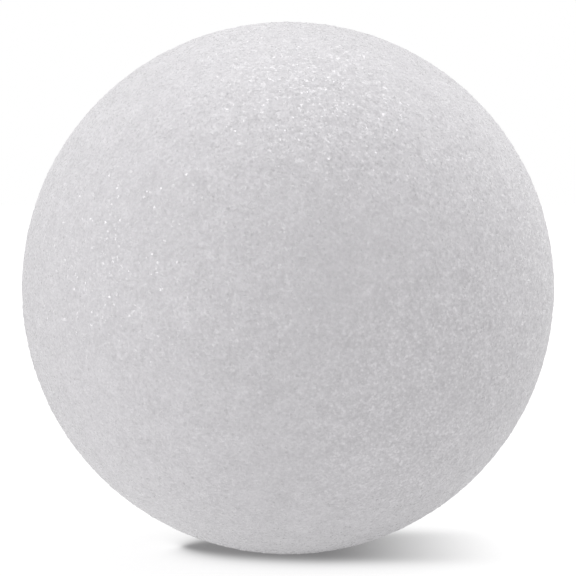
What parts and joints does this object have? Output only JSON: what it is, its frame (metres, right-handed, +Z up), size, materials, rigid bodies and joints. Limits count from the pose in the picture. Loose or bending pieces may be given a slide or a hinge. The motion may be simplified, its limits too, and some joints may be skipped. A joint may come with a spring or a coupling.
{
  "type": "polystyrene foam ball",
  "caption": "Solid round ball of white extruded polystyrene foam with a fine rough open-cell surface, used as a core for craft work, models and decorations.",
  "frame": {"origin": "centre of the ball", "axes": "+Z up, out of the top of the ball as it lies in the picture; +X to the right there and +Y away from the viewer. The ball is round, so all three directions are alike"},
  "size_m": [0.1195, 0.1197, 0.1194],
  "materials": {
    "foam": "matt, finely rough from the cut-open foam cells, with small glints where flat bits of cell wall face a lamp"
  },
  "bodies": {
    "root": {"foam_ball": "foam"}
  },
  "joints": []
}
